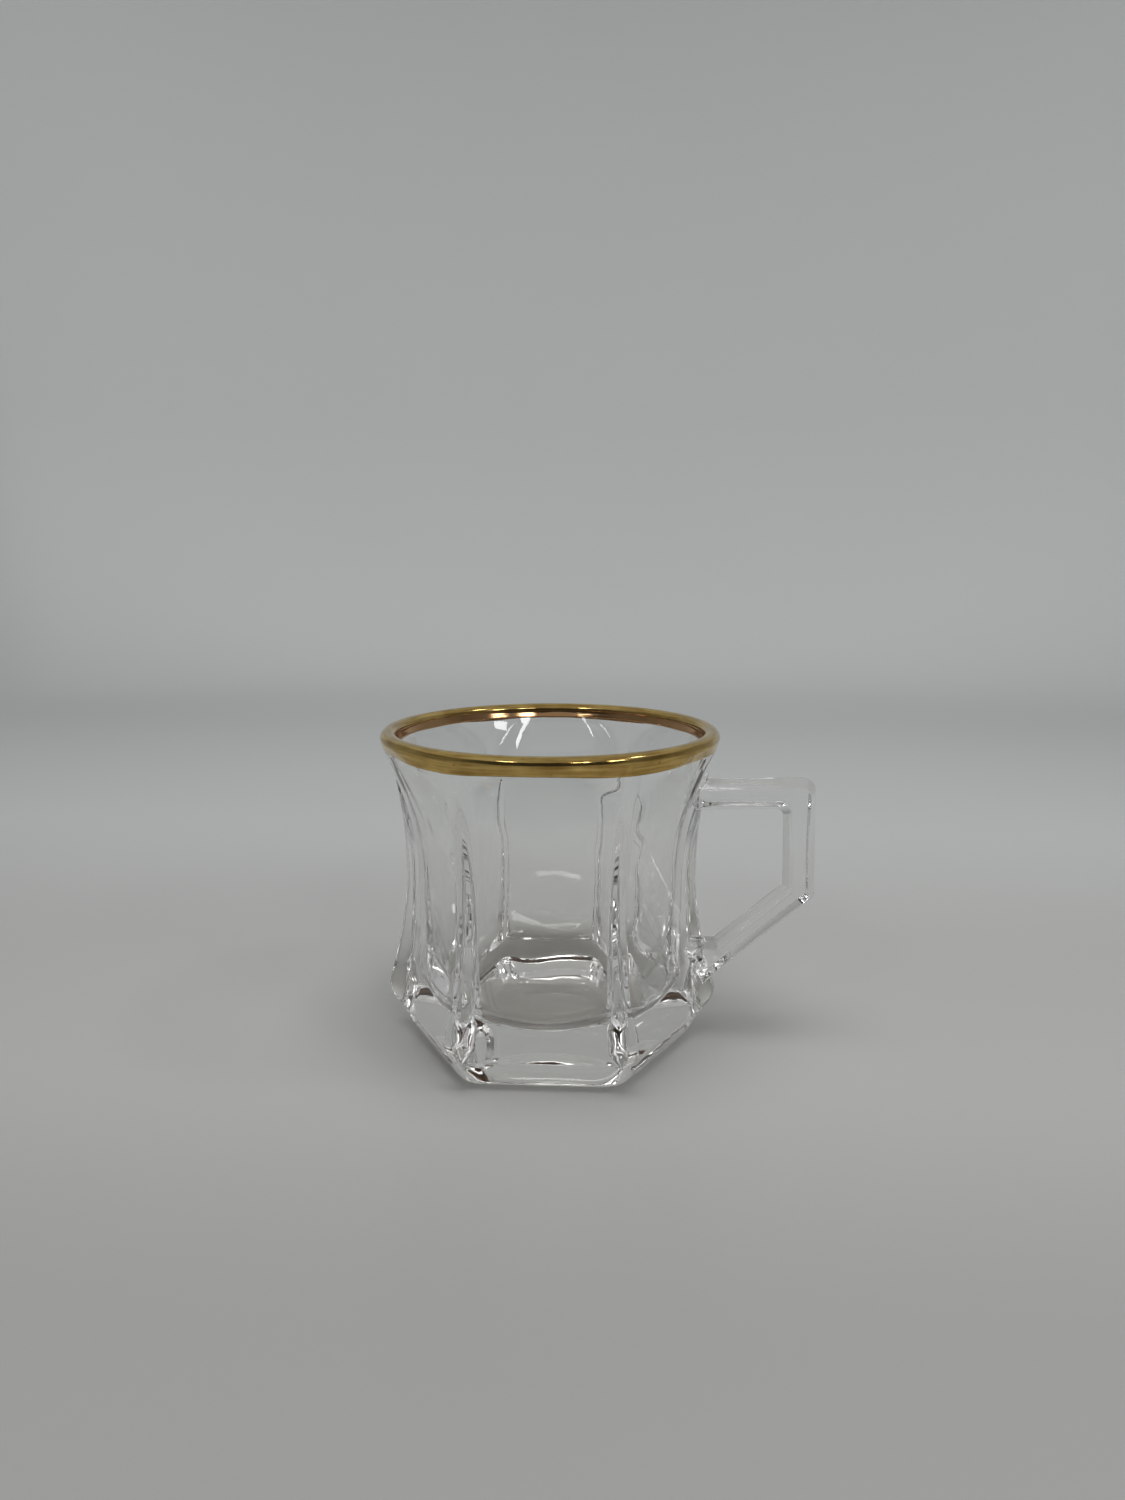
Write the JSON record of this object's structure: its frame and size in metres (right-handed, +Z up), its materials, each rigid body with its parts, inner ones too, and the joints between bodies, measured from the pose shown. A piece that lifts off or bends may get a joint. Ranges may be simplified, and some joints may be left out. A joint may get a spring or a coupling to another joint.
{
  "type": "glass mug",
  "caption": "Clear pressed-glass mug with flat panels, ribs ending in knuckles above a faceted foot, a solid angular glass handle and a gilded round lip.",
  "frame": {"origin": "middle of the flat underside, on the axis of the bowl", "axes": "+Z up along the axis of the bowl, +X towards the handle, -Y the panel that faces the viewer"},
  "size_m": [0.1042, 0.08, 0.077],
  "materials": {
    "clear_glass": "clear, fire-polished",
    "gold": "bright fired gold film"
  },
  "bodies": {
    "root": {"glass_body": "clear_glass", "glass_handle": "clear_glass", "gold_rim": "gold"}
  },
  "joints": []
}
